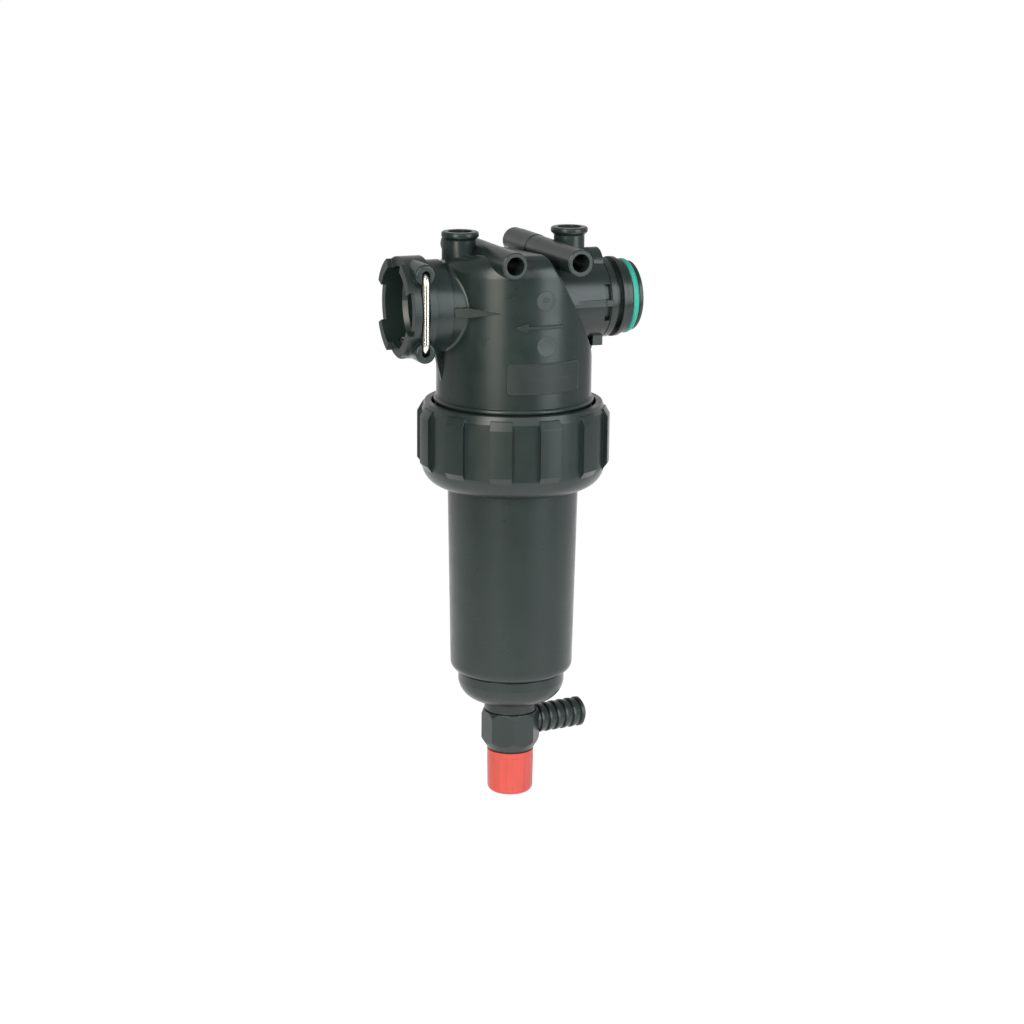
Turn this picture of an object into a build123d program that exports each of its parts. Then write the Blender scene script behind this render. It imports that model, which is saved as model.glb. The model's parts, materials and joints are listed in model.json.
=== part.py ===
from build123d import *
import math
import os

os.makedirs("parts", exist_ok=True)

# Frame of the drawing
# Lengths are in millimetres. X runs along the two ports: the outlet socket points
# to -X and the inlet spigot to +X. -Y is the front and +Z is up. Heights in this
# drawing are counted from the axis of the ports. The finished pieces are moved
# down by bolt_rise, so that the origin lies midway between the two bolt tubes.
bolt_rise = 22.9            # bolt tube axes above the port axis

# Running clearances
slide_gap = 0.3             # between moulded faces that slide past each other
fit_gap = 0.05              # radial play of a shaft or seal in its bore
face_gap = 0.1              # between flat faces that are clamped together
far = 200.0                 # size of the blocks that cut pieces off, beyond every piece

# Head, main body
barrel_r = 36.7
crown_height = 23.7         # crown above the port axis, at the middle
crown_tilt = 4.0            # the crown falls to the back by this angle
crown_round = 9.5
slope_x = 18.4              # where the inlet side's slope crosses the port axis
slope_angle = 58.9          # slope of the inlet side, from the horizontal
slope_round = 1.6
bead_top = -44.6
bead_height = 2.8
bead_r = 37.9
skirt_r = 38.8              # crests of the thread that the lock ring turns on
thread_depth = 0.9          # the skirt's solid ends at the root of the thread
skirt_top = -49.0
skirt_bottom = -74.0
chamber_r = 32.5
chamber_top = -27.0

# Cartridge seat in the head
collar_r = 20.0
collar_bore_r = 16.0
collar_bottom = -40.0

# Ports
passage_r = 11.5
riser_r = 13.0              # outlet passage between the seat and the port
feed_x = 24.5               # hole that feeds the chamber from the inlet
feed_r = 7.0
gusset_thickness = 4.0      # gusset from the outlet neck to the barrel, in the parting plane
gusset_tip = 19.0           # where its point meets the barrel
gusset_start = 31.0         # where it begins to narrow
gusset_proud = 0.5
inlet_rib = 3.4             # rib along the inlet neck, in the parting plane
inlet_rib_proud = 0.7
web_thickness = 2.4         # web under each port, in the plane of both axes
web_reach = 38.3
web_end = -35.5             # where the web runs out on the barrel
web_foot = 6.0              # height over which the web's end curves into the neck

# Outlet socket, a female fork coupling
neck_out_r = 20.0
neck_blend = 1.6            # fillet between the outlet neck and the barrel
neck_out_length = 1.3       # how far the outlet neck stands out of the barrel
socket_back = barrel_r + neck_out_length
band_r = 21.5
collar_back = 46.7
socket_r = 23.65
socket_end = 60.0
socket_bore_r = 18.0
socket_depth = 20.3
seal_bore_length = 6.9
mouth_r = 19.3
mouth_lead = 2.4            # cone between the mouth and the seal's bore
notch_depth = 2.5
notch_half_angle = 25.0
notch_count = 4

# Fork clip
wire_r = 1.65
fork_x = 52.15              # distance of the fork from the head's axis
fork_bend_r = 4.4
fork_proud = 0.7            # how far the fork's bridge stands out of the collar
fork_leg_back = 19.0
groove_r = 16.25            # floor of the groove that a fork drops into
ear_r = 4.9                 # hoods over the fork's bends
ear_setback = 1.6           # of the hood's face from the fork's front
ear_round = 1.2

# Inlet spigot, a male fork coupling
neck_in_r = 19.0
neck_taper = 0.9            # how far the neck's upper half grows towards the slope
neck_in_end = 41.6
line_width = 0.4            # fine line between the neck and the flange
line_depth = 0.7
flange_end = 45.0
flange_r = 19.0
ring_start = 48.2
ring_end = 50.2
land_start = 50.7
land_end = 53.2
land_gap = 0.2              # between a spigot's land and a socket's bore
land_r = socket_bore_r - land_gap
seal_end = 57.2
seal_wire_r = 1.75
lip_end = 59.2
lip_r = 16.6
lug_reach = 23.9
lug_foot_reach = 21.7
lug_depth = 5.0
lug_half_width = 8.6
lug_wall = 2.2
side_lug_half = 1.5
side_lug_proud = 1.0
window_height = 7.2         # pockets above and below each side lug
window_width = 3.0
window_depth = 2.2

# Gauge ports
gauge_x = 27.4
gauge_r = 7.25
gauge_lip_r = 8.75
gauge_top = 34.1
gauge_lip = 2.3
gauge_cone = 1.4
gauge_bore_r = 5.75
gauge_depth = 12.0
gauge_drill_r = 2.0
gauge_rib = 2.4             # rib on the outlet gauge port's outer side
gauge_rib_reach = 1.3

# Bolt tubes
bolt_spacing = 32.0
bolt_tube_r = 6.2
bolt_hole_r = 4.2
bolt_tube_length = 82.0
bolt_chamfer = 0.5
bolt_web_front = 12.0       # web that carries the inlet side's tube, from here to the back
bolt_web_back = 33.0
bolt_web_inner = 2.0
tube_step = 0.25            # the inlet side's tube is this much larger behind the web's front

# Lock ring
lock_top = -46.9
lock_bottom = -87.4
lock_wall = 4.4
lock_bore_r = skirt_r + slide_gap
lock_r = lock_bore_r + lock_wall
lock_lip = 2.0              # plain lip above the thread
grip_height = 2.2           # how far the grip lugs stand out
grip_r = lock_r + grip_height
grip_count = 12
grip_angle = 13.2
grip_phase = 1.0
grip_top = -48.8
grip_full_top = -52.6
grip_full_bottom = -75.2
grip_bottom = -79.6
rim_step = 1.5              # the ring's top edge is this much smaller than its body
rim_drop = 3.6
base_start = -77.2
base_wall = 1.4             # what is left of the ring's base at its lowest edge
base_bulge = 0.76           # where the base's curve passes, as a share across and down
base_sink = 0.62

# Bowl
flange_thickness = 4.5
flange_gap = 0.7            # between the bowl's flange and the lock ring's bore
bowl_top_r = 31.3
bowl_low_r = 29.45
bowl_wall = 3.0
bowl_shoulder = -179.6
shoulder_round = 4.4
inner_round = 1.0
sump_step = 3.8             # the sump is this much smaller than the bowl above it
sump_r = bowl_low_r - sump_step
sump_edge = -184.7
sump_curve_step = 3.2
sump_mid = -191.4
sump_lip = 0.6              # bead along the bowl's shoulder, above the sump
boss_r = 12.9
boss_top = -194.3
boss_bottom = -199.9
spigot_top = -58.0
spigot_wall = 1.7           # behind the seal's groove
bowl_seal_z = -64.0
bowl_seal_wire_r = 1.3
seat_top = -172.0
seat_r = 13.0
seat_bore_r = 9.0
seat_slots = 6
seat_slot_width = 4.0
drain_thread_r = 8.0

# Filter cartridge
flange_top_r = 19.6
cartridge_top = collar_bottom - slide_gap
top_flange = 4.0
spigot_length = 9.0
top_ring_wall = 3.2
mesh_r = 18.5
mesh_thickness = 0.5
mesh_bottom = -165.0
cage_bars = 8
cage_bar_width = 1.8
cage_bar_depth = 2.2
cage_rings = 7
cage_ring_height = 2.0
cap_height = 5.5
cap_lip = 3.0
cap_chamfer = 1.2
top_seal_wire_r = 1.2
bottom_seal_height = 1.5

# Drain valve
drain_turn = 7.0            # the hose tail's direction, from +X towards +Y
octagon_flats = 26.3
gasket_thickness = 0.6
octagon_top = boss_bottom - gasket_thickness
octagon_bottom = -219.8
octagon_top_r = 13.1
octagon_top_chamfer = 2.2
octagon_low_r = 11.3
octagon_low_chamfer = 4.8
gasket_r = 12.0
thread_top = -189.5
way_r = 4.0
seat_z = -202.7
valve_chamber_r = 7.2
valve_chamber_bottom = -213.0
guide_r = 4.0
neck_r = 8.2
neck_bottom = -230.0
tail_z = -207.8
tail_end = 39.6
tail_root_r = 6.5
tail_ring_r = 7.25
tail_pitch = 4.5
tail_rings = 5
tail_crest = 1.1            # flat on each barb
tail_bore_r = 4.3
tail_nose = 3.0
tail_nose_r = 5.4

# Drain stem
stem_head_r = 5.0
stem_head_height = 2.0
seat_seal_height = 2.0
stem_rod_r = 2.9
stem_tip_r = 2.4
stem_tip_bottom = -240.4
stem_pin_r = 1.45           # pin that centres the seat's disc
stem_seal_wire_r = 0.95
stem_seal_z = -216.0
stem_seal_step = 3.6

# Drain knob
knob_gap = 0.8              # between the valve body's block and the knob
knob_top = octagon_bottom - knob_gap
knob_bottom = -242.2
knob_r = 11.3
knob_low_r = 11.0
knob_round = 2.8
knob_rim = 2.6
knob_flutes = 12
knob_phase = 22.5
flute_r = 6.5
flute_depth = 0.55
knob_floor_top = -235.0
knob_floor_bottom = -238.0
knob_pocket_r = 6.2
clip_groove = 0.6           # depth of the spring ring's groove in the stem
clip_thickness = 1.0
clip_r = 4.6


def cylinder_z(radius, low, high):
    """A cylinder about the vertical axis between two heights."""
    body = Cylinder(radius, high - low, align=(Align.CENTER, Align.CENTER, Align.MIN))
    return Pos(0, 0, low) * body


def cylinder_x(radius, start, end):
    """A cylinder about the port axis between two places along X."""
    body = Cylinder(radius, end - start, align=(Align.CENTER, Align.CENTER, Align.MIN))
    return Pos(start, 0, 0) * Rot(0, 90, 0) * body


def ring_z(outer, inner, low, high):
    """A plain ring about the vertical axis."""
    return cylinder_z(outer, low, high) - cylinder_z(inner, low - 1, high + 1)


def turned_z(points):
    """Turns an outline of (radius, height) points about the vertical axis."""
    outline = Plane.XZ * make_face(Polyline(*points, close=True))
    return revolve(outline, Axis.Z)


def turned_x(points):
    """Turns an outline of (place, radius) points about the port axis."""
    outline = make_face(Polyline(*points, close=True))
    return revolve(outline, Axis.X)


def torus_z(wire, radius, height):
    """A round seal about the vertical axis."""
    return Pos(0, 0, height) * Torus(radius, wire)


def seal_floor(bore, wire):
    """Radius of the groove floor for a round seal that meets a bore."""
    return bore - 2 * wire - 2 * fit_gap


def slope_cutter():
    """The half-space above the inlet side's slope."""
    block = Box(far, far, far, align=(Align.CENTER, Align.CENTER, Align.MIN))
    return Pos(slope_x, 0, 0) * Rot(0, slope_angle, 0) * block


def head_core():
    """Barrel with its rounded crown, cut away on the inlet side by the slope."""
    core = cylinder_z(barrel_r, skirt_top, crown_height + 2 * crown_round)
    above = Box(far, far, far, align=(Align.CENTER, Align.CENTER, Align.MIN))
    core -= Pos(0, 0, crown_height) * Rot(-crown_tilt, 0, 0) * above
    core = fillet(core.edges().group_by(Axis.Z)[-1], crown_round)
    core -= slope_cutter()
    slope_face = core.faces().filter_by(GeomType.PLANE).sort_by(Axis.X)[-1]
    return fillet(slope_face.edges().filter_by(lambda e: e.length > barrel_r / 2), slope_round)


def head_skirt():
    """Bead below the barrel, and the skirt up to the root of its thread."""
    bead = cylinder_z(bead_r, bead_top - bead_height, bead_top)
    bead = fillet(bead.edges(), bead_height * 0.45)
    skirt = cylinder_z(skirt_r - thread_depth, skirt_bottom, skirt_top)
    skirt = chamfer(skirt.edges(), thread_depth)
    neck = cylinder_z(barrel_r, skirt_top - 1, bead_top)
    return bead + skirt + neck


def outlet_neck(core):
    """Joins the outlet neck to the barrel with a fillet."""
    joined = core + cylinder_x(neck_out_r, -socket_back, 0)
    def on_both(edge):
        """True for an edge that lies on the neck and on the barrel."""
        middle = edge @ 0.5
        on_neck = abs(math.hypot(middle.Y, middle.Z) - neck_out_r) < fit_gap
        return on_neck and middle.X > -barrel_r - 1 and edge.geom_type != GeomType.LINE
    return fillet(joined.edges().filter_by(on_both), neck_blend)


def outlet_socket():
    """Female coupling: neck, band and collar."""
    return turned_x([
        (-socket_end, 0),
        (-socket_end, socket_r),
        (-collar_back, socket_r),
        (-collar_back + 0.5, band_r),
        (-socket_back, band_r),
        (-socket_back, 0),
    ])


def fork_hoods():
    """Rounded hoods above and below the collar, over the fork's bends."""
    length = socket_r + fork_proud - ear_setback
    hood = Cylinder(ear_r, length, align=(Align.CENTER, Align.CENTER, Align.MIN))
    hood = fillet(hood.edges().group_by(Axis.Z)[-1], ear_round)
    hood = Pos(-fork_x, 0, groove_r + wire_r) * Rot(90, 0, 0) * hood
    return hood + mirror(hood, Plane.XY)


def socket_cuts():
    """Bore, mouth and notches of the outlet socket."""
    back = -socket_end + socket_depth
    bore_start = back - seal_bore_length
    cuts = turned_x([
        (-socket_end - 1, 0),
        (-socket_end - 1, mouth_r),
        (bore_start - mouth_lead, mouth_r),
        (bore_start, socket_bore_r),
        (back, socket_bore_r),
        (back, 0),
    ])
    reach = socket_r + fork_proud
    half = math.radians(notch_half_angle)
    side = reach * math.sin(half)
    wedge = Polyline((0, 0), (reach * math.cos(half), side), (far, 0), (reach * math.cos(half), -side), close=True)
    notch = extrude(Plane.YZ * make_face(wedge), notch_depth + 1)
    for step in range(notch_count):
        cuts += Pos(-socket_end - 1, 0, 0) * Rot(step * 360 / notch_count, 0, 0) * notch
    return cuts


def fork_ways():
    """Cross holes for the fork's legs and the slot for its bridge and bends."""
    height = groove_r + wire_r
    gap_r = wire_r + slide_gap
    axis = socket_r + fork_proud - wire_r
    way = Pos(-fork_x, 0, height) * Rot(90, 0, 0) * Cylinder(gap_r, far)
    slot = Box(2 * gap_r, far, height, align=(Align.CENTER, Align.MAX, Align.MIN))
    corner = Box(2 * gap_r, far, fork_bend_r, align=(Align.CENTER, Align.MAX, Align.MAX))
    cuts = way + Pos(-fork_x, gap_r - axis, 0) * slot
    cuts += Pos(-fork_x, fork_bend_r + slide_gap - axis, height) * corner
    return cuts + mirror(cuts, Plane.XY)


def inlet_neck():
    """Neck of the inlet side; its upper half grows towards the slope."""
    neck = cylinder_x(neck_in_r, 0, neck_in_end)
    upper = turned_x([(0, 0), (0, neck_in_r + 2 * neck_taper), (neck_in_end, neck_in_r), (neck_in_end, 0)])
    upper &= Box(far, far, far, align=(Align.CENTER, Align.CENTER, Align.MIN))
    return neck + upper


def inlet_spigot():
    """Male coupling: flange, fork groove, land, seal groove and lip."""
    seal_floor_r = seal_floor(land_r, seal_wire_r)
    return turned_x([
        (0, 0),
        (0, neck_in_r - line_depth),
        (neck_in_end + line_width, neck_in_r - line_depth),
        (neck_in_end + line_width, flange_r),
        (flange_end, flange_r),
        (flange_end, groove_r),
        (ring_start, groove_r),
        (ring_start, flange_r),
        (ring_end, flange_r),
        (land_start, land_r),
        (land_end, land_r),
        (land_end, seal_floor_r),
        (seal_end, seal_floor_r),
        (seal_end, lip_r),
        (lip_end - 0.6, lip_r),
        (lip_end, lip_r - 0.6),
        (lip_end, 0),
    ])


def lug_arch():
    """Hollow round-topped lug above the inlet neck."""
    start = neck_in_end - lug_depth
    middle = lug_reach - lug_half_width
    def arch(radius):
        """A round-topped shape of the lug's depth."""
        leg = Box(lug_depth, 2 * radius, middle, align=(Align.MIN, Align.CENTER, Align.MIN))
        return cylinder_x(radius, 0, lug_depth) + Pos(0, 0, -middle) * leg
    hollow = Pos(-lug_wall / 2, 0, 0) * arch(lug_half_width - lug_wall)
    return Pos(start, 0, middle) * (arch(lug_half_width) - hollow)


def lug_foot():
    """Hollow flat lug below the inlet neck."""
    start = neck_in_end - lug_depth
    inner = lug_half_width - lug_wall
    foot = Box(lug_depth, 2 * lug_half_width, lug_foot_reach, align=(Align.MIN, Align.CENTER, Align.MAX))
    foot -= Pos(-lug_wall / 2, 0, 0) * Box(lug_depth, 2 * inner, lug_foot_reach - lug_wall, align=(Align.MIN, Align.CENTER, Align.MAX))
    return Pos(start, 0, 0) * foot


def side_lugs():
    """Bars at the front and back of the inlet neck, up to the flange."""
    reach = 2 * (neck_in_r + side_lug_proud)
    bar = Box(window_width + line_width, reach, 2 * side_lug_half, align=(Align.MIN, Align.CENTER, Align.CENTER))
    return Pos(neck_in_end - window_width, 0, 0) * bar


def lug_windows():
    """Pockets above and below each side lug."""
    start = neck_in_end - window_width
    floor_r = neck_in_r - window_depth
    ring = cylinder_x(socket_r, start, neck_in_end) - cylinder_x(floor_r, start - 1, neck_in_end + 1)
    slab = Pos(0, 0, side_lug_half) * Box(far, far, window_height, align=(Align.CENTER, Align.CENTER, Align.MIN))
    return ring & (slab + mirror(slab, Plane.XY))


def gauge_port(x, base):
    """Small standing port with a beaded rim."""
    rim_low = gauge_top - gauge_lip
    port = turned_z([
        (0, base),
        (gauge_r, base),
        (gauge_r, rim_low - gauge_cone),
        (gauge_lip_r, rim_low),
        (gauge_lip_r, gauge_top),
        (0, gauge_top),
    ])
    rim = port.edges().filter_by(GeomType.CIRCLE).filter_by(lambda e: abs(e.radius - gauge_lip_r) < 0.01)
    port = fillet(rim, gauge_lip * 0.4)
    return Pos(x, 0, 0) * port


def gauge_cuts(x):
    """Threaded bore of a gauge port and the drilling that meets the passage."""
    cuts = cylinder_z(gauge_bore_r, gauge_top - gauge_depth, gauge_top + 1)
    cuts += cylinder_z(gauge_drill_r, 0, gauge_top)
    return Pos(x, 0, 0) * cuts


def bolt_tube(x):
    """Tube for one bracket bolt, running from front to back."""
    tube = Cylinder(bolt_tube_r, bolt_tube_length)
    tube = chamfer(tube.edges().filter_by(GeomType.CIRCLE), bolt_chamfer)
    return Pos(x, 0, bolt_rise) * Rot(90, 0, 0) * tube


def tube_back():
    """Thicker back part of the inlet side's tube, and the web that carries it."""
    length = bolt_web_back - bolt_web_front
    sleeve = Cylinder(bolt_tube_r + tube_step, length, align=(Align.CENTER, Align.CENTER, Align.MAX))
    sleeve = Pos(bolt_spacing / 2, bolt_web_front, bolt_rise) * Rot(90, 0, 0) * sleeve
    web = Box(bolt_tube_r + bolt_web_inner, length, bolt_rise, align=(Align.MAX, Align.MIN, Align.MIN))
    web = Pos(bolt_spacing / 2 + bolt_web_inner, bolt_web_front, 0) * web
    return sleeve + web


def bolt_hole(x):
    """Through hole of a bolt tube."""
    return Pos(x, 0, bolt_rise) * Rot(90, 0, 0) * Cylinder(bolt_hole_r, bolt_tube_length + 2)


def outlet_gusset():
    """Pointed gusset from the outlet neck to the barrel, in the parting plane."""
    half = gusset_thickness / 2
    shape = Polyline((-socket_back, half), (-gusset_start, half), (-gusset_tip, 0),
                     (-gusset_start, -half), (-socket_back, -half), close=True)
    tip_y = math.sqrt(barrel_r ** 2 - gusset_tip ** 2) + gusset_proud
    back_y = band_r + gusset_proud
    plan = Polyline((-socket_back, -back_y), (-gusset_tip, -tip_y), (-gusset_tip, tip_y), (-socket_back, back_y), close=True)
    front = extrude(Plane.XZ * make_face(shape), far, both=True)
    return front & extrude(make_face(plan), gusset_thickness, both=True)


def inlet_ribs():
    """Ribs along the inlet neck, in the parting plane."""
    length = neck_in_end - window_width
    reach = 2 * (neck_in_r + inlet_rib_proud)
    return Box(length, reach, inlet_rib, align=(Align.MIN, Align.CENTER, Align.CENTER))


def port_webs():
    """Upright webs under both ports, in the plane of both axes."""
    root = neck_in_r - 2
    web = Polyline(
        (0, -root),
        (web_reach + 4, -root),
        (web_reach + 1.2, -root - web_foot),
        (web_reach, -root - 2 * web_foot),
        (barrel_r, web_end),
        (0, web_end),
        close=True,
    )
    web = extrude(Plane.XZ * make_face(web), web_thickness / 2, both=True)
    return web + mirror(web, Plane.YZ)


def head_cavity():
    """Chamber round the cartridge, and the ways in and out of it."""
    chamber = cylinder_z(chamber_r, skirt_bottom - 1, chamber_top)
    chamber -= cylinder_z(collar_r, collar_bottom, chamber_top)
    cavity = chamber + cylinder_z(collar_bore_r, collar_bottom - 1, chamber_top)
    cavity += cylinder_z(riser_r, chamber_top - 1, 0)
    cavity += Sphere(riser_r)
    cavity += cylinder_x(passage_r, -socket_end, 0)
    cavity += cylinder_x(passage_r, feed_x, lip_end + 1)
    cavity += Pos(feed_x, 0, 0) * Sphere(passage_r)
    cavity += Pos(feed_x, 0, 0) * cylinder_z(feed_r, chamber_top - 1, 0)
    return cavity


def gauge_ear():
    """Upright rib on the outer side of the outlet gauge port."""
    low = crown_height - gauge_rib
    ear = Box(gauge_r + gauge_rib_reach, gauge_rib, gauge_top - gauge_lip - low, align=(Align.MAX, Align.CENTER, Align.MIN))
    return Pos(-gauge_x, 0, low) * ear


def head_body():
    """The head: one moulding with ports, bolt tubes and the threaded skirt."""
    head = outlet_neck(head_core()) + head_skirt()
    head += outlet_socket() + fork_hoods() + outlet_gusset()
    head += inlet_neck() + inlet_ribs() + inlet_spigot()
    head -= lug_windows()
    head += side_lugs() + lug_arch() + lug_foot()
    head += port_webs()
    head += tube_back() + gauge_ear()
    for x in (-gauge_x, gauge_x):
        head += gauge_port(x, passage_r + 2)
    for x in (-bolt_spacing / 2, bolt_spacing / 2):
        head += bolt_tube(x)
    head -= head_cavity()
    head -= socket_cuts()
    head -= fork_ways()
    for x in (-gauge_x, gauge_x):
        head -= gauge_cuts(x)
    for x in (-bolt_spacing / 2, bolt_spacing / 2):
        head -= bolt_hole(x)
    return head


def fork_clip():
    """Wire fork: a bridge across the front and two legs to the back."""
    height = groove_r + wire_r
    front = -socket_r - fork_proud + wire_r
    route = FilletPolyline(
        (-fork_x, fork_leg_back, -height),
        (-fork_x, front, -height),
        (-fork_x, front, height),
        (-fork_x, fork_leg_back, height),
        radius=fork_bend_r,
    )
    section = Plane(origin=route @ 0, z_dir=route % 0) * Circle(wire_r)
    return sweep(section, path=route)


def spigot_seal():
    """Round seal in the groove of the inlet spigot."""
    middle = (land_end + seal_end) / 2
    return Pos(middle, 0, 0) * Rot(0, 90, 0) * Torus(land_r - fit_gap - seal_wire_r, seal_wire_r)


def lock_ring():
    """Ring nut with grip lugs and a rounded base, bored to its thread's root."""
    shoulder = skirt_bottom - flange_thickness - 2 * face_gap
    base_edge_r = bowl_top_r + slide_gap + base_wall
    body = Polyline(
        (lock_bore_r, lock_top),
        (lock_r - rim_step, lock_top),
        (lock_r, lock_top - rim_drop),
        (lock_r, base_start),
    )
    middle_r = base_edge_r + (lock_r - base_edge_r) * base_bulge
    middle_z = base_start + (lock_bottom - base_start) * base_sink
    curve = ThreePointArc((lock_r, base_start), (middle_r, middle_z), (base_edge_r, lock_bottom))
    inside = Polyline(
        (base_edge_r, lock_bottom),
        (bowl_top_r + slide_gap, lock_bottom),
        (bowl_top_r + slide_gap, shoulder),
        (lock_bore_r, shoulder),
        (lock_bore_r, skirt_bottom),
        (lock_bore_r + thread_depth, skirt_bottom),
        (lock_bore_r + thread_depth, lock_top - lock_lip),
        (lock_bore_r, lock_top - lock_lip),
        (lock_bore_r, lock_top),
    )
    ring = revolve(Plane.XZ * make_face(body + curve + inside), Axis.Z)
    grip = grip_lug()
    for step in range(grip_count):
        ring += Rot(0, 0, step * 360 / grip_count) * grip
    return ring


def grip_lug():
    """One grip lug of the lock ring, chamfered at both ends."""
    root = lock_r - grip_height / 2
    outline = Polyline(
        (root, grip_top),
        (lock_r, grip_top),
        (grip_r, grip_full_top),
        (grip_r, grip_full_bottom),
        (root, grip_bottom),
        close=True,
    )
    lug = revolve(Plane.XZ * make_face(outline), Axis.Z, grip_angle)
    return Rot(0, 0, -90 + grip_phase - grip_angle / 2) * lug


def bowl():
    """Filter bowl with flange, tapered wall, sump and drain boss."""
    flange_top = skirt_bottom - face_gap
    flange_low = flange_top - flange_thickness
    flange_edge = lock_bore_r - flange_gap
    spigot_r = chamber_r - slide_gap
    corner = shoulder_round * (1 - math.sqrt(0.5))
    outside = Polyline(
        (0, spigot_top),
        (spigot_r, spigot_top),
        (spigot_r, flange_top),
        (flange_edge, flange_top),
        (flange_edge, flange_low),
        (bowl_top_r, flange_low),
        (bowl_low_r, bowl_shoulder + shoulder_round),
    )
    shoulder = ThreePointArc(
        (bowl_low_r, bowl_shoulder + shoulder_round),
        (bowl_low_r - corner, bowl_shoulder + corner),
        (bowl_low_r - shoulder_round, bowl_shoulder),
    )
    step = Polyline(
        (bowl_low_r - shoulder_round, bowl_shoulder),
        (sump_r, bowl_shoulder - sump_lip),
        (sump_r, sump_edge),
    )
    cup = ThreePointArc((sump_r, sump_edge), (sump_r - sump_curve_step, sump_mid), (boss_r, boss_top))
    boss = Polyline((boss_r, boss_top), (boss_r, boss_bottom), (0, boss_bottom), (0, spigot_top))
    solid = revolve(Plane.XZ * make_face(outside + shoulder + step + cup + boss), Axis.Z)
    solid -= bowl_inside()
    groove_half = bowl_seal_wire_r + slide_gap
    groove = ring_z(chamber_r, bowl_groove_r(), bowl_seal_z - groove_half, bowl_seal_z + groove_half)
    return solid - groove


def bowl_groove_r():
    """Radius of the seal groove's floor in the bowl's spigot."""
    return seal_floor(chamber_r, bowl_seal_wire_r)


def bowl_inside():
    """Space inside the bowl, round the ring that carries the cartridge."""
    mouth = bowl_groove_r() - spigot_wall
    low_r = bowl_low_r - bowl_wall
    floor_z = bowl_shoulder + bowl_wall
    cup_floor = boss_top + bowl_wall
    space = turned_z([
        (0, spigot_top + 1),
        (mouth, spigot_top + 1),
        (mouth, skirt_bottom),
        (bowl_top_r - bowl_wall, skirt_bottom - flange_thickness),
        (low_r, floor_z + inner_round),
        (low_r - inner_round, floor_z),
        (sump_r - bowl_wall, floor_z),
        (sump_r - bowl_wall, sump_edge),
        (boss_r, cup_floor),
        (0, cup_floor),
    ])
    ring = ring_z(seat_r, seat_bore_r, boss_top, seat_top)
    slot = Box(far, seat_slot_width, (seat_top - cup_floor) * 0.7, align=(Align.CENTER, Align.CENTER, Align.MIN))
    for step in range(seat_slots // 2):
        ring -= Pos(0, 0, cup_floor) * Rot(0, 0, step * 360 / seat_slots) * slot
    space -= ring
    return space + cylinder_z(drain_thread_r + fit_gap, boss_bottom - 1, cup_floor + 1)


def bowl_seal():
    """Round seal on the bowl's spigot."""
    radius = chamber_r - bowl_seal_wire_r - fit_gap
    return torus_z(bowl_seal_wire_r, radius, bowl_seal_z)


def cartridge_top_ring():
    """Upper end of the cartridge, with the spigot that enters the head."""
    low = cartridge_top - top_flange
    spigot_r = collar_bore_r - slide_gap
    high = cartridge_top + spigot_length
    bore_r = spigot_r - top_ring_wall
    ring = turned_z([
        (bore_r, low),
        (flange_top_r, low),
        (flange_top_r, cartridge_top),
        (spigot_r, cartridge_top),
        (spigot_r, high - 1),
        (spigot_r - 1, high),
        (bore_r, high),
    ])
    half = top_seal_wire_r + slide_gap
    middle = cartridge_top + spigot_length / 2
    floor = seal_floor(collar_bore_r, top_seal_wire_r)
    ring -= ring_z(spigot_r + 1, floor, middle - half, middle + half)
    return ring + ring_z(flange_top_r, mesh_r + fit_gap, low - cap_lip, low)


def cartridge_top_seal():
    """Round seal on the cartridge's spigot."""
    radius = collar_bore_r - top_seal_wire_r - fit_gap
    return torus_z(top_seal_wire_r, radius, cartridge_top + spigot_length / 2)


def cartridge_cage():
    """Open cage of bars and hoops that holds the mesh from inside."""
    top = cartridge_top - top_flange
    outer = mesh_r - mesh_thickness - fit_gap
    length = top - mesh_bottom
    bar = Box(cage_bar_depth, cage_bar_width, length, align=(Align.MAX, Align.CENTER, Align.MIN))
    bars = [Rot(0, 0, step * 360 / cage_bars) * Pos(outer - 0.1, 0, mesh_bottom) * bar for step in range(cage_bars)]
    step_z = (length - cage_ring_height) / (cage_rings - 1)
    hoops = []
    for index in range(cage_rings):
        low = mesh_bottom + index * step_z
        hoops.append(ring_z(outer, outer - cage_bar_depth, low, low + cage_ring_height))
    cage = hoops[0].fuse(*hoops[1:], *bars)
    return cage


def cartridge_mesh():
    """Woven sleeve round the cage."""
    top = cartridge_top - top_flange
    return ring_z(mesh_r, mesh_r - mesh_thickness, mesh_bottom, top)


def cartridge_bottom_cap():
    """Closed lower end of the cartridge."""
    low = mesh_bottom - cap_height
    cap = cylinder_z(flange_top_r, low, mesh_bottom)
    cap = chamfer(cap.edges().group_by(Axis.Z)[0], cap_chamfer)
    return cap + ring_z(flange_top_r, mesh_r + fit_gap, mesh_bottom, mesh_bottom + cap_lip)


def cartridge_bottom_seal():
    """Flat seal between the cartridge and its seat in the bowl."""
    high = mesh_bottom - cap_height
    return ring_z(seat_r, seat_bore_r, high - bottom_seal_height + face_gap, high)


def drain_octagon():
    """Eight-sided block with both ends turned to a cone."""
    block = extrude(RegularPolygon(octagon_flats / 2, 8, major_radius=False), octagon_top - octagon_bottom)
    block = Pos(0, 0, octagon_bottom) * Rot(0, 0, 22.5) * block
    radius = octagon_flats / 2 / math.cos(math.radians(22.5))
    envelope = turned_z([
        (0, octagon_bottom),
        (octagon_low_r, octagon_bottom),
        (radius, octagon_bottom + octagon_low_chamfer),
        (radius, octagon_top - octagon_top_chamfer),
        (octagon_top_r, octagon_top),
        (0, octagon_top),
    ])
    return block & envelope


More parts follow.
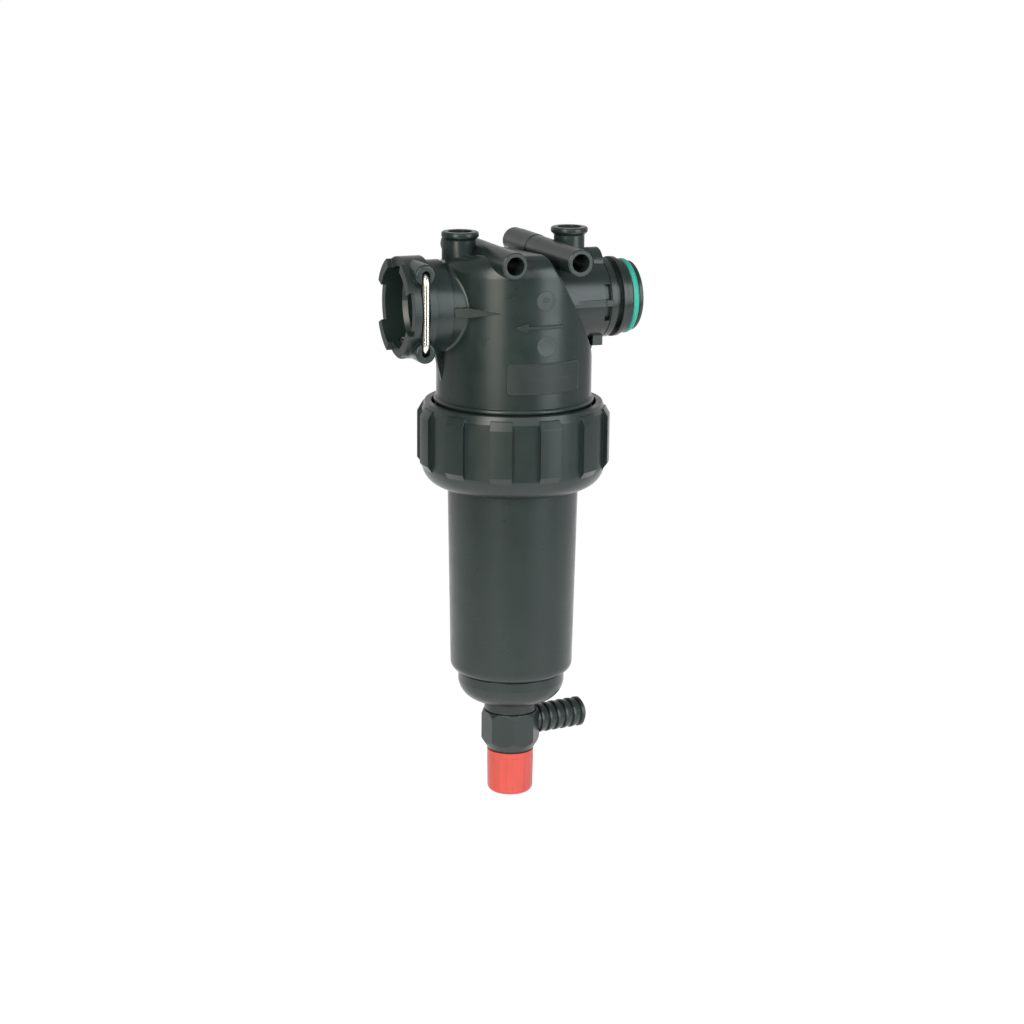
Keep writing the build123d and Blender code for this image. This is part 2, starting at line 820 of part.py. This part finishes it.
def hose_tail():
    """Barbed tail for the drain hose."""
    points = [(0, 0), (0, tail_root_r)]
    nose = tail_end - tail_nose
    for index in range(tail_rings):
        place = nose - (tail_rings - index) * tail_pitch
        points.append((place, tail_root_r))
        points.append((place, tail_ring_r))
        points.append((place + tail_crest, tail_ring_r))
    points.append((nose, tail_root_r))
    points.append((nose, tail_ring_r))
    points.append((nose + tail_nose / 2, tail_ring_r))
    points.append((tail_end, tail_nose_r))
    points.append((tail_end, 0))
    return Pos(0, 0, tail_z) * turned_x(points)


def drain_body():
    """Valve body: screwed spigot, octagon, hose tail and knob neck."""
    body = drain_octagon() + hose_tail()
    body += cylinder_z(drain_thread_r, octagon_top - 1, thread_top)
    body += cylinder_z(neck_r, neck_bottom, octagon_bottom + 1)
    body -= cylinder_z(way_r, seat_z - 1, thread_top + 1)
    body -= cylinder_z(valve_chamber_r, valve_chamber_bottom, seat_z)
    body -= cylinder_z(guide_r, neck_bottom - 1, valve_chamber_bottom + 1)
    body -= Pos(0, 0, tail_z) * cylinder_x(tail_bore_r, 0, tail_end + 1)
    return Rot(0, 0, drain_turn) * body


def drain_gasket():
    """Flat seal between the bowl's boss and the valve body."""
    return ring_z(gasket_r, drain_thread_r + fit_gap, octagon_top, boss_bottom)


def drain_stem():
    """Stem with the valve head, the guided shank and the tip in the knob."""
    head_top = seat_z - face_gap - seat_seal_height
    head_low = head_top - stem_head_height
    shank_r = guide_r - fit_gap
    stem = cylinder_z(stem_head_r, head_low, head_top)
    stem += cylinder_z(stem_rod_r, valve_chamber_bottom - 1, head_low)
    stem += cylinder_z(shank_r, knob_floor_top, valve_chamber_bottom)
    stem += cylinder_z(stem_tip_r, stem_tip_bottom, knob_floor_top)
    stem += cylinder_z(stem_pin_r, head_top, head_top + seat_seal_height - slide_gap)
    floor = seal_floor(guide_r, stem_seal_wire_r)
    half = stem_seal_wire_r + 3 * fit_gap
    for index in range(2):
        middle = stem_seal_z - index * stem_seal_step
        stem -= ring_z(shank_r + 1, floor, middle - half, middle + half)
    clip_top = knob_floor_bottom - face_gap
    groove = ring_z(stem_tip_r + 1, stem_tip_r - clip_groove, clip_top - clip_thickness - face_gap, clip_top)
    return stem - groove


def stem_seals():
    """Two round seals in the stem's grooves."""
    radius = guide_r - stem_seal_wire_r - fit_gap
    upper = torus_z(stem_seal_wire_r, radius, stem_seal_z)
    lower = torus_z(stem_seal_wire_r, radius, stem_seal_z - stem_seal_step)
    return Compound([upper, lower])


def seat_seal():
    """Disc on the valve head that closes the drain."""
    low = seat_z - face_gap - seat_seal_height
    return ring_z(stem_head_r, stem_pin_r + fit_gap, low, low + seat_seal_height)


def drain_knob():
    """Fluted hand knob, hollow for the valve neck and the stem's tip."""
    knob = turned_z([
        (0, knob_bottom),
        (knob_low_r, knob_bottom),
        (knob_r, knob_top),
        (0, knob_top),
    ])
    knob = fillet(knob.edges().group_by(Axis.Z)[0], knob_round)
    flute = Cylinder(flute_r, knob_top - knob_bottom, align=(Align.CENTER, Align.CENTER, Align.MAX))
    place = knob_r - flute_depth + flute_r
    for step in range(knob_flutes):
        knob -= Rot(0, 0, knob_phase + step * 360 / knob_flutes) * Pos(place, 0, knob_top - knob_rim) * flute
    knob -= cylinder_z(neck_r + slide_gap, knob_floor_top, knob_top + 1)
    knob -= cylinder_z(stem_tip_r + fit_gap, knob_bottom, knob_floor_top + 1)
    knob -= cylinder_z(knob_pocket_r, knob_bottom - 1, knob_floor_bottom)
    return knob


def stem_clip():
    """Open spring ring that holds the stem's tip under the knob's floor."""
    top = knob_floor_bottom - face_gap
    inner = stem_tip_r - clip_groove
    ring = ring_z(clip_r, inner + fit_gap, top - clip_thickness, top)
    gap = Box(2 * clip_r, 2 * inner, 2 * clip_thickness + clip_r, align=(Align.MIN, Align.CENTER, Align.CENTER))
    return ring - Pos(0, 0, top) * gap


def save(name, shape):
    """Moves a piece into the part's frame and writes it."""
    export_step(Pos(0, 0, -bolt_rise) * shape, "parts/" + name + ".step")


save("head_body", head_body())
save("outlet_fork_clip", fork_clip())
save("inlet_seal", spigot_seal())
save("lock_ring", lock_ring())
save("bowl", bowl())
save("bowl_seal", bowl_seal())
save("cartridge_top_ring", cartridge_top_ring())
save("cartridge_top_seal", cartridge_top_seal())
save("cartridge_cage", cartridge_cage())
save("cartridge_mesh", cartridge_mesh())
save("cartridge_bottom_cap", cartridge_bottom_cap())
save("cartridge_bottom_seal", cartridge_bottom_seal())
save("drain_body", drain_body())
save("drain_gasket", drain_gasket())
save("drain_stem", drain_stem())
save("drain_stem_seals", stem_seals())
save("drain_seat_seal", seat_seal())
save("drain_knob", drain_knob())
save("drain_stem_clip", stem_clip())
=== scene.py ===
import json
import math

import bmesh
import bpy
from mathutils import Matrix, Vector


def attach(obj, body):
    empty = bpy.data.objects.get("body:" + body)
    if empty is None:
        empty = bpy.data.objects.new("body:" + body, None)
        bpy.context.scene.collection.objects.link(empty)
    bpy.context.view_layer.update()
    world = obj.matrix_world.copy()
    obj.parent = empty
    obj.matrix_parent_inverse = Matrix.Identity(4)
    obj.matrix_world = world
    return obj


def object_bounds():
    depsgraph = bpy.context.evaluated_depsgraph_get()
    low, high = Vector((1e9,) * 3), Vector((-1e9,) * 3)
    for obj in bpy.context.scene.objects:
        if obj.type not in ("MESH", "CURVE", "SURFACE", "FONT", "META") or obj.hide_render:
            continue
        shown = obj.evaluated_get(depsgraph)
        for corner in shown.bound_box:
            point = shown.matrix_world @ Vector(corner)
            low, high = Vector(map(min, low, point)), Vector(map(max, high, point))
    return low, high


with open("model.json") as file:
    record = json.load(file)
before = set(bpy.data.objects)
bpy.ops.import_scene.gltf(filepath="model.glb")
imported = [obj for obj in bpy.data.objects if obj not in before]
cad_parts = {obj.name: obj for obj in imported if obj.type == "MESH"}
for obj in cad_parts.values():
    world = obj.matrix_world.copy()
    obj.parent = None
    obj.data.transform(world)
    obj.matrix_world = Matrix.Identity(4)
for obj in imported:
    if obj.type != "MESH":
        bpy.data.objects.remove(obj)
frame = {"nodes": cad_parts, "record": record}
cad_low, cad_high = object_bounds()

# Lengths in metres, in the part's own frame: the origin lies midway between the
# bolt tubes, +X points along the inlet spigot, -Y is the front and +Z is up.
MM = 0.001
PORT_Z = -22.9 * MM
BARREL_R = 36.7 * MM

# Photograph's viewpoint
VIEW_AZIMUTH = math.radians(-21.842)
VIEW_ELEVATION = math.radians(14.094)
VIEW_ROLL = math.radians(0.5478)
VIEW_DISTANCE = 1197.6 * MM
VIEW_TARGET = Vector((-0.19 * MM, 0.08 * MM, PORT_Z - 101.91 * MM))
LENS = 87.92
FLOOR_DROP = 200 * MM
FLOOR_SIZE = 60.0


def make_camera():
    """Camera at the photograph's angle, distance and roll."""
    cos_e = math.cos(VIEW_ELEVATION)
    back = Vector((math.sin(VIEW_AZIMUTH) * cos_e, -math.cos(VIEW_AZIMUTH) * cos_e, math.sin(VIEW_ELEVATION)))
    right = Vector((math.cos(VIEW_AZIMUTH), math.sin(VIEW_AZIMUTH), 0))
    up = back.cross(right)
    turned_right = right * math.cos(VIEW_ROLL) + up * math.sin(VIEW_ROLL)
    turned_up = up * math.cos(VIEW_ROLL) - right * math.sin(VIEW_ROLL)
    camera = bpy.data.objects.new("camera", bpy.data.cameras.new("camera"))
    camera.data.lens = LENS
    camera.data.sensor_width = 36
    camera.data.clip_end = 20
    rotation = Matrix((turned_right, turned_up, back)).transposed()
    camera.matrix_world = Matrix.Translation(VIEW_TARGET + back * VIEW_DISTANCE) @ rotation.to_4x4()
    bpy.context.scene.collection.objects.link(camera)
    bpy.context.scene.camera = camera


class Nodes:
    """Short way to build a material's node tree."""

    def __init__(self, tree):
        self.tree = tree
        self.tree.nodes.clear()

    def add(self, kind, inputs=None, **settings):
        node = self.tree.nodes.new(kind)
        for name, value in settings.items():
            setattr(node, name, value)
        for name, value in (inputs or {}).items():
            socket = node.inputs[name]
            if isinstance(value, bpy.types.NodeSocket):
                self.tree.links.new(value, socket)
            else:
                socket.default_value = value
        return node

    def object_place(self):
        return self.add("ShaderNodeTexCoord").outputs["Object"]

    def noise(self, scale, detail=2.0, roughness=0.5, place=None):
        place = place or self.object_place()
        node = self.add("ShaderNodeTexNoise", {"Vector": place, "Scale": scale, "Detail": detail, "Roughness": roughness})
        return node.outputs["Fac"]

    def spread(self, value, low, high, start=0.3, end=0.7):
        node = self.add("ShaderNodeMapRange", {"Value": value, "From Min": start, "From Max": end,
                                               "To Min": low, "To Max": high})
        return node.outputs["Result"]

    def blend_colours(self, factor, first, second):
        node = self.add("ShaderNodeMix", data_type="RGBA")
        self.tree.links.new(factor, node.inputs["Factor"])
        node.inputs["A"].default_value = (*first, 1)
        node.inputs["B"].default_value = (*second, 1)
        return node.outputs["Result"]

    def math(self, operation, first, second=0.0):
        return self.add("ShaderNodeMath", {0: first, 1: second}, operation=operation).outputs[0]

    def dot(self, vector, direction):
        return self.add("ShaderNodeVectorMath", {0: vector, 1: direction}, operation="DOT_PRODUCT").outputs["Value"]

    def axes(self):
        return self.add("ShaderNodeSeparateXYZ", {"Vector": self.object_place()}).outputs

    def bump(self, height, strength, distance, normal=None):
        inputs = {"Height": height, "Strength": strength, "Distance": distance}
        if normal is not None:
            inputs["Normal"] = normal
        return self.add("ShaderNodeBump", inputs).outputs["Normal"]

    def finish(self, shader):
        self.add("ShaderNodeOutputMaterial", {"Surface": shader})


def new_material(name):
    material = bpy.data.materials.new(name)
    material.use_nodes = True
    return material, Nodes(material.node_tree)


def moulded_plastic(name, dark, light, rough=(0.27, 0.33), grain=0.02, edge=0.35 * MM):
    """Moulded plastic: faint colour drift, fine grain and softened edges."""
    material, nodes = new_material(name)
    drift = nodes.noise(38, detail=4)
    fine = nodes.noise(2600, detail=2)
    flow = nodes.noise(160, detail=3)
    colour = nodes.blend_colours(nodes.spread(drift, 0, 1), dark, light)
    normal = nodes.add("ShaderNodeBevel", {"Radius": edge}, samples=6).outputs["Normal"]
    normal = nodes.bump(flow, 0.04, 0.2 * MM, normal)
    normal = nodes.bump(fine, grain, 0.05 * MM, normal)
    shader = nodes.add("ShaderNodeBsdfPrincipled", {
        "Base Color": colour,
        "Roughness": nodes.spread(flow, *rough),
        "Normal": normal,
    })
    nodes.finish(shader.outputs["BSDF"])
    return material


def seal_rubber(name, dark, light, rough=(0.35, 0.5)):
    """Smooth elastomer with a slight bloom."""
    material, nodes = new_material(name)
    bloom = nodes.noise(420, detail=3)
    shader = nodes.add("ShaderNodeBsdfPrincipled", {
        "Base Color": nodes.blend_colours(nodes.spread(bloom, 0, 1), dark, light),
        "Roughness": nodes.spread(bloom, *rough),
        "Normal": nodes.bump(bloom, 0.05, 0.05 * MM),
    })
    nodes.finish(shader.outputs["BSDF"])
    return material


def drawn_wire(name, colour):
    """Drawn stainless wire with fine lines along it."""
    material, nodes = new_material(name)
    stretch = nodes.add("ShaderNodeMapping", {"Vector": nodes.object_place()})
    stretch.inputs["Scale"].default_value = (1, 1, 0.05)
    lines = nodes.noise(900, detail=2, place=stretch.outputs["Vector"])
    tint = nodes.blend_colours(nodes.spread(lines, 0, 1), colour, tuple(c * 0.9 for c in colour))
    shader = nodes.add("ShaderNodeBsdfPrincipled", {
        "Base Color": tint,
        "Metallic": 1.0,
        "Roughness": nodes.spread(lines, 0.22, 0.28),
        "Normal": nodes.bump(lines, 0.01, 0.03 * MM),
    })
    nodes.finish(shader.outputs["BSDF"])
    return material


def woven_mesh(name, colour, radius, pitch):
    """Woven stainless cloth on a sleeve about the vertical axis, with painted shade in the weave's low places."""
    material, nodes = new_material(name)
    place = nodes.axes()
    across = nodes.math("MULTIPLY", nodes.math("ARCTAN2", place["Y"], place["X"]), 2 * math.pi * radius / pitch)
    down = nodes.math("MULTIPLY", place["Z"], 2 * math.pi / pitch)
    weave = nodes.math("MULTIPLY", nodes.math("SINE", across), nodes.math("SINE", down))
    # Painted shade: the colour darkens where the weave's bump sinks, between the wires.
    painted_weave_shade = nodes.spread(weave, 0, 1, start=-0.6, end=0.4)
    shader = nodes.add("ShaderNodeBsdfPrincipled", {
        "Base Color": nodes.blend_colours(painted_weave_shade, tuple(c * 0.35 for c in colour), colour),
        "Metallic": 1.0,
        "Roughness": nodes.spread(painted_weave_shade, 0.45, 0.3, start=0, end=1),
        "Normal": nodes.bump(weave, 0.5, 0.15 * MM),
    })
    nodes.finish(shader.outputs["BSDF"])
    return material


WORLD_LIGHT = 0.22
VIEW_FRONT = (math.sin(VIEW_AZIMUTH), -math.cos(VIEW_AZIMUTH), 0)


def make_world():
    """Studio: white to the camera; in reflections bright behind, dim before and above."""
    world = bpy.data.worlds.new("surroundings")
    world.use_nodes = True
    bpy.context.scene.world = world
    nodes = Nodes(world.node_tree)
    direction = nodes.add("ShaderNodeTexCoord").outputs["Generated"]
    facing = nodes.dot(direction, VIEW_FRONT)
    rise = nodes.dot(direction, (0, 0, 1))
    strength = nodes.math("MULTIPLY", nodes.spread(facing, 1.0, 0.28, start=-0.35, end=0.75),
                          nodes.spread(rise, 1.0, 0.4, start=0.0, end=0.5))
    path = nodes.add("ShaderNodeLightPath").outputs
    shown = nodes.math("MAXIMUM", path["Is Camera Ray"], path["Is Transmission Ray"])
    lit = nodes.add("ShaderNodeBackground", {"Color": (1, 1, 1, 1), "Strength": WORLD_LIGHT})
    mirrored = nodes.add("ShaderNodeBackground", {"Color": (1, 1, 1, 1), "Strength": strength})
    white = nodes.add("ShaderNodeBackground", {"Color": (1, 1, 1, 1), "Strength": 1.0})
    mixed = nodes.add("ShaderNodeMixShader", {0: path["Is Glossy Ray"], 1: lit.outputs[0], 2: mirrored.outputs[0]})
    mixed = nodes.add("ShaderNodeMixShader", {0: shown, 1: mixed.outputs[0], 2: white.outputs[0]})
    nodes.add("ShaderNodeOutputWorld", {"Surface": mixed.outputs[0]})


def table_glow(nodes):
    """Strength of the floor in reflections: a bright table that ends before the part."""
    place = nodes.object_place()
    reach = nodes.add("ShaderNodeVectorMath", {0: place}, operation="LENGTH").outputs["Value"]
    facing = nodes.math("DIVIDE", nodes.dot(place, VIEW_FRONT), reach)
    before = nodes.spread(reach, 1.5, 0.02, start=0.95, end=1.25)
    beside = nodes.spread(reach, 1.2, 0.4, start=1.1, end=1.65)
    share = nodes.spread(facing, 0, 1, start=0.0, end=0.4)
    glow = nodes.math("ADD", nodes.math("MULTIPLY", before, share),
                      nodes.math("MULTIPLY", beside, nodes.math("SUBTRACT", 1.0, share)))
    return nodes.math("MAXIMUM", glow, nodes.spread(facing, 1.3, 0, start=-0.95, end=-0.75))


def make_floor():
    """Plain pale floor, well below the part, which hangs from its bolt tubes."""
    bpy.ops.mesh.primitive_plane_add(size=FLOOR_SIZE, location=(0, 0, cad_low.z - FLOOR_DROP))
    floor = bpy.context.object
    floor.name = "floor"
    material, nodes = new_material("floor_pale")
    path = nodes.add("ShaderNodeLightPath").outputs
    matte = nodes.add("ShaderNodeBsdfDiffuse", {"Color": (0.86, 0.86, 0.86, 1)})
    mirrored = nodes.add("ShaderNodeEmission", {"Color": (1, 1, 1, 1), "Strength": table_glow(nodes)})
    glow = nodes.add("ShaderNodeEmission", {"Color": (1, 1, 1, 1), "Strength": 1.09})
    share = nodes.math("MULTIPLY", path["Is Camera Ray"], 0.9)
    mixed = nodes.add("ShaderNodeMixShader", {0: path["Is Glossy Ray"], 1: matte.outputs[0], 2: mirrored.outputs[0]})
    mixed = nodes.add("ShaderNodeMixShader", {0: share, 1: mixed.outputs[0], 2: glow.outputs[0]})
    nodes.finish(mixed.outputs[0])
    floor.data.materials.append(material)


def soft_lamp(name, azimuth, height, distance, size, power, colour):
    """Rectangular lamp that faces the part; azimuth as for the camera."""
    turn = math.radians(azimuth)
    place = Vector((math.sin(turn) * distance, -math.cos(turn) * distance, height))
    lamp = bpy.data.objects.new(name, bpy.data.lights.new(name, "AREA"))
    lamp.data.shape = "RECTANGLE"
    lamp.data.size, lamp.data.size_y = size
    lamp.data.energy = power
    lamp.data.color = colour
    lamp.location = place
    lamp.rotation_euler = (Vector((0, 0, -0.1)) - place).to_track_quat("-Z", "Y").to_euler()
    bpy.context.scene.collection.objects.link(lamp)


def make_lamps():
    soft_lamp("key_left", -49, 0.33, 1.1, (0.5, 1.15), 13, (1.0, 0.99, 0.88))
    soft_lamp("fill_right", 33, 0.22, 1.2, (0.7, 1.15), 10.5, (0.92, 0.98, 1.0))
    soft_lamp("front", -8, 0.45, 1.3, (0.7, 1.0), 3.5, (1.0, 1.0, 0.97))
    soft_lamp("top", -20, 1.2, 0.5, (0.8, 0.8), 1.5, (1.0, 1.0, 1.0))


def smooth(obj, angle=35):
    """Smooth shading, except over sharp edges."""
    for polygon in obj.data.polygons:
        polygon.use_smooth = True
    obj.data.set_sharp_from_angle(angle=math.radians(angle))


def dress_frame(materials):
    """Gives every solid of the frame its finish."""
    slots = {row["node"]: row["material_slot"] for row in frame["record"]["subparts"]}
    for name, obj in frame["nodes"].items():
        obj.data.materials.clear()
        obj.data.materials.append(materials[slots[name]])
        smooth(obj)


def add_piece(name, points, faces, material, body):
    """A mesh piece of the part that rides on one body."""
    mesh = bpy.data.meshes.new(name)
    mesh.from_pydata(points, [], faces)
    shape = bmesh.new()
    shape.from_mesh(mesh)
    bmesh.ops.recalc_face_normals(shape, faces=shape.faces)
    shape.to_mesh(mesh)
    shape.free()
    mesh.materials.append(material)
    piece = bpy.data.objects.new(name, mesh)
    bpy.context.scene.collection.objects.link(piece)
    smooth(piece)
    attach(piece, body)


def on_barrel(turn, height, along, up, lift):
    """A point of the barrel's front, from a place on it; lift is outwards."""
    angle = math.radians(turn) + along / BARREL_R
    reach = BARREL_R + lift
    return reach * math.sin(angle), -reach * math.cos(angle), PORT_Z + height + up


def ring_faces(rings, sides):
    """Quads between rings of points, each ring closed."""
    faces = []
    for ring in range(rings - 1):
        for side in range(sides):
            after = (side + 1) % sides
            faces.append((ring * sides + side, ring * sides + after,
                          (ring + 1) * sides + after, (ring + 1) * sides + side))
    return faces


def barrel_disc(name, turn, height, profile, material):
    """Round mark on the barrel, from rings of (radius, lift) in millimetres."""
    sides = 64
    points = []
    for radius, lift in profile:
        for side in range(sides):
            angle = 2 * math.pi * side / sides
            points.append(on_barrel(turn, height, radius * MM * math.cos(angle),
                                    radius * MM * math.sin(angle), lift * MM))
    faces = ring_faces(len(profile), sides)
    faces.append(tuple(range(sides)))
    faces.append(tuple(range((len(profile) - 1) * sides, len(profile) * sides)))
    add_piece(name, points, faces, material, "head")


def rounded_outline(half_along, half_up, corner):
    """Points round a rounded rectangle, close enough together to follow the barrel."""
    steps = 12
    points = []
    for side, (turn_x, turn_z) in enumerate(((1, 1), (-1, 1), (-1, -1), (1, -1))):
        for step in range(steps + 1):
            angle = math.radians(90 * side + 90 * step / steps)
            points.append((turn_x * (half_along - corner) + corner * math.cos(angle),
                           turn_z * (half_up - corner) + corner * math.sin(angle)))
        if side in (0, 2):
            for step in range(1, 2 * steps):
                points.append((turn_x * (half_along - corner) * (1 - step / steps), turn_z * half_up))
    return points


def bare_plate(name, turn, height, half_along, half_up, corner, material):
    """Bare rounded plate on the barrel, with a fine rim round it."""
    rings = [(0.0, -0.2), (0.15, 0.22), (0.4, 0.32), (0.65, 0.22), (0.85, 0.06)]
    rings += [(inset, 0.06) for inset in (1.5, 2.5, 3.5, 4.5, 5.5, 6.5, 7.3)]
    points = []
    for inset, lift in rings:
        inset *= MM
        outline = rounded_outline(half_along - inset, half_up - inset, max(corner - inset, 0.05 * MM))
        points += [on_barrel(turn, height, along, up, lift * MM) for along, up in outline]
    sides = len(outline)
    faces = ring_faces(len(rings), sides)
    faces.append(tuple(range((len(rings) - 1) * sides, len(rings) * sides)))
    add_piece(name, points, faces, material, "head")


def flow_arrow(name, turn, height, material):
    """Raised arrow on the barrel that points to the outlet."""
    tip, base, end = -11.9 * MM, -5.8 * MM, 11.9 * MM
    head_half, shaft_half = 2.3 * MM, 0.7 * MM
    lift, draft, sunk = 0.6 * MM, 0.3 * MM, -0.2 * MM
    steps = 8
    sections = [(tip + (base - tip) * step / steps, head_half * step / steps) for step in range(steps + 1)]
    sections += [(base + (end - base) * (step + 0.02) / (steps + 0.02), shaft_half) for step in range(steps + 1)]
    points = []
    for along, half in sections:
        for up, out in ((-half - draft, sunk), (-half, lift), (half, lift), (half + draft, sunk)):
            points.append(on_barrel(turn, height, along, up, out))
    faces = ring_faces(len(sections), 4)
    faces.append((0, 1, 2, 3))
    faces.append(tuple(range(len(points) - 4, len(points))))
    add_piece(name, points, faces, material, "head")


def thread_ridge(name, wall, crest, low, high, pitch, material, body, centre=0.0):
    """Helical ridge on a wall about a vertical axis; heights are from the port axis."""
    sides = 72
    steps = round((high - low) / pitch * sides)
    back = wall - math.copysign(0.06 * MM, crest - wall)
    points = []
    for step in range(steps + 1):
        angle = 2 * math.pi * step / sides
        middle = PORT_Z + low + pitch * step / sides
        fade = min(1.0, 8 * step / sides, 8 * (steps - step) / sides)
        tip = wall + (crest - wall) * fade
        for reach, rise in ((back, -0.36), (tip, -0.14), (tip, 0.14), (back, 0.36)):
            points.append((centre + reach * math.cos(angle), reach * math.sin(angle), middle + rise * pitch))
    faces = ring_faces(steps + 1, 4)
    faces.append((0, 1, 2, 3))
    faces.append(tuple(range(len(points) - 4, len(points))))
    add_piece(name, points, faces, material, body)


def add_threads(finishes):
    """Threads of the lock ring, the head's skirt and the gauge ports."""
    thread_ridge("skirt_thread", 37.9 * MM, 38.75 * MM, -71.6 * MM, -51.4 * MM, 4.4 * MM,
                 finishes["housing"], "head")
    thread_ridge("lock_ring_thread", 40 * MM, 39.15 * MM, -72 * MM, -50.6 * MM, 4.4 * MM,
                 finishes["ring_plastic"], "lock_ring")
    for name, centre in (("outlet_gauge_thread", -27.4 * MM), ("inlet_gauge_thread", 27.4 * MM)):
        thread_ridge(name, 5.75 * MM, 5.2 * MM, 23 * MM, 33.2 * MM, 1.34 * MM,
                     finishes["housing"], "head", centre)


def add_marks(finishes):
    """Generic mould marks on the barrel: a dial, a bare disc and a flow arrow."""
    barrel_disc("dial_mark", 1.6, 5.7 * MM, (
        (0.1, 0.55), (0.6, 0.55), (0.75, 0.08), (1.5, 0.08), (1.7, 0.32), (4.3, 0.32), (4.55, 0.2), (4.7, -0.2),
    ), finishes["mark"])
    barrel_disc("bare_mark", 2.4, -15.5 * MM, (
        (0.1, 0.24), (3.9, 0.24), (4.05, 0.34), (4.5, 0.34), (4.7, 0.2), (4.85, -0.2),
    ), finishes["mark"])
    flow_arrow("flow_arrow", -2.8, -6.5 * MM, finishes["plate"])
    bare_plate("bare_plate", 3.0, -30.4 * MM, 19.2 * MM, 7.4 * MM, 2.2 * MM, finishes["plate"])


BLACK_DARK = (0.010, 0.018, 0.017)
BLACK_LIGHT = (0.014, 0.024, 0.022)
finishes = {
    "housing": moulded_plastic("housing_black", BLACK_DARK, BLACK_LIGHT),
    "ring_plastic": moulded_plastic("ring_black", BLACK_DARK, BLACK_LIGHT, rough=(0.28, 0.36)),
    "valve_plastic": moulded_plastic("valve_black", BLACK_DARK, BLACK_LIGHT, rough=(0.28, 0.36)),
    "mark": moulded_plastic("mark_matte", (0.030, 0.040, 0.038), (0.044, 0.056, 0.054), rough=(0.5, 0.6), grain=0.1),
    "plate": moulded_plastic("plate_matte", (0.008, 0.014, 0.014), (0.011, 0.019, 0.018), rough=(0.42, 0.5)),
    "red_knob": moulded_plastic("knob_red", (0.56, 0.066, 0.050), (0.64, 0.078, 0.060), rough=(0.32, 0.42)),
    "cage_plastic": moulded_plastic("cage_blue", (0.05, 0.12, 0.32), (0.06, 0.15, 0.38)),
    "green_seal": seal_rubber("seal_green", (0.02, 0.30, 0.23), (0.03, 0.36, 0.28)),
    "black_seal": seal_rubber("seal_black", (0.01, 0.01, 0.01), (0.02, 0.02, 0.02)),
    "wire_steel": drawn_wire("wire_steel", (0.82, 0.80, 0.75)),
    "mesh_steel": woven_mesh("mesh_steel", (0.62, 0.62, 0.60), 18.5 * MM, 0.9 * MM),
}

make_camera()
make_world()
make_floor()
make_lamps()
dress_frame(finishes)
add_marks(finishes)
add_threads(finishes)

bpy.context.scene.view_settings.view_transform = "Standard"
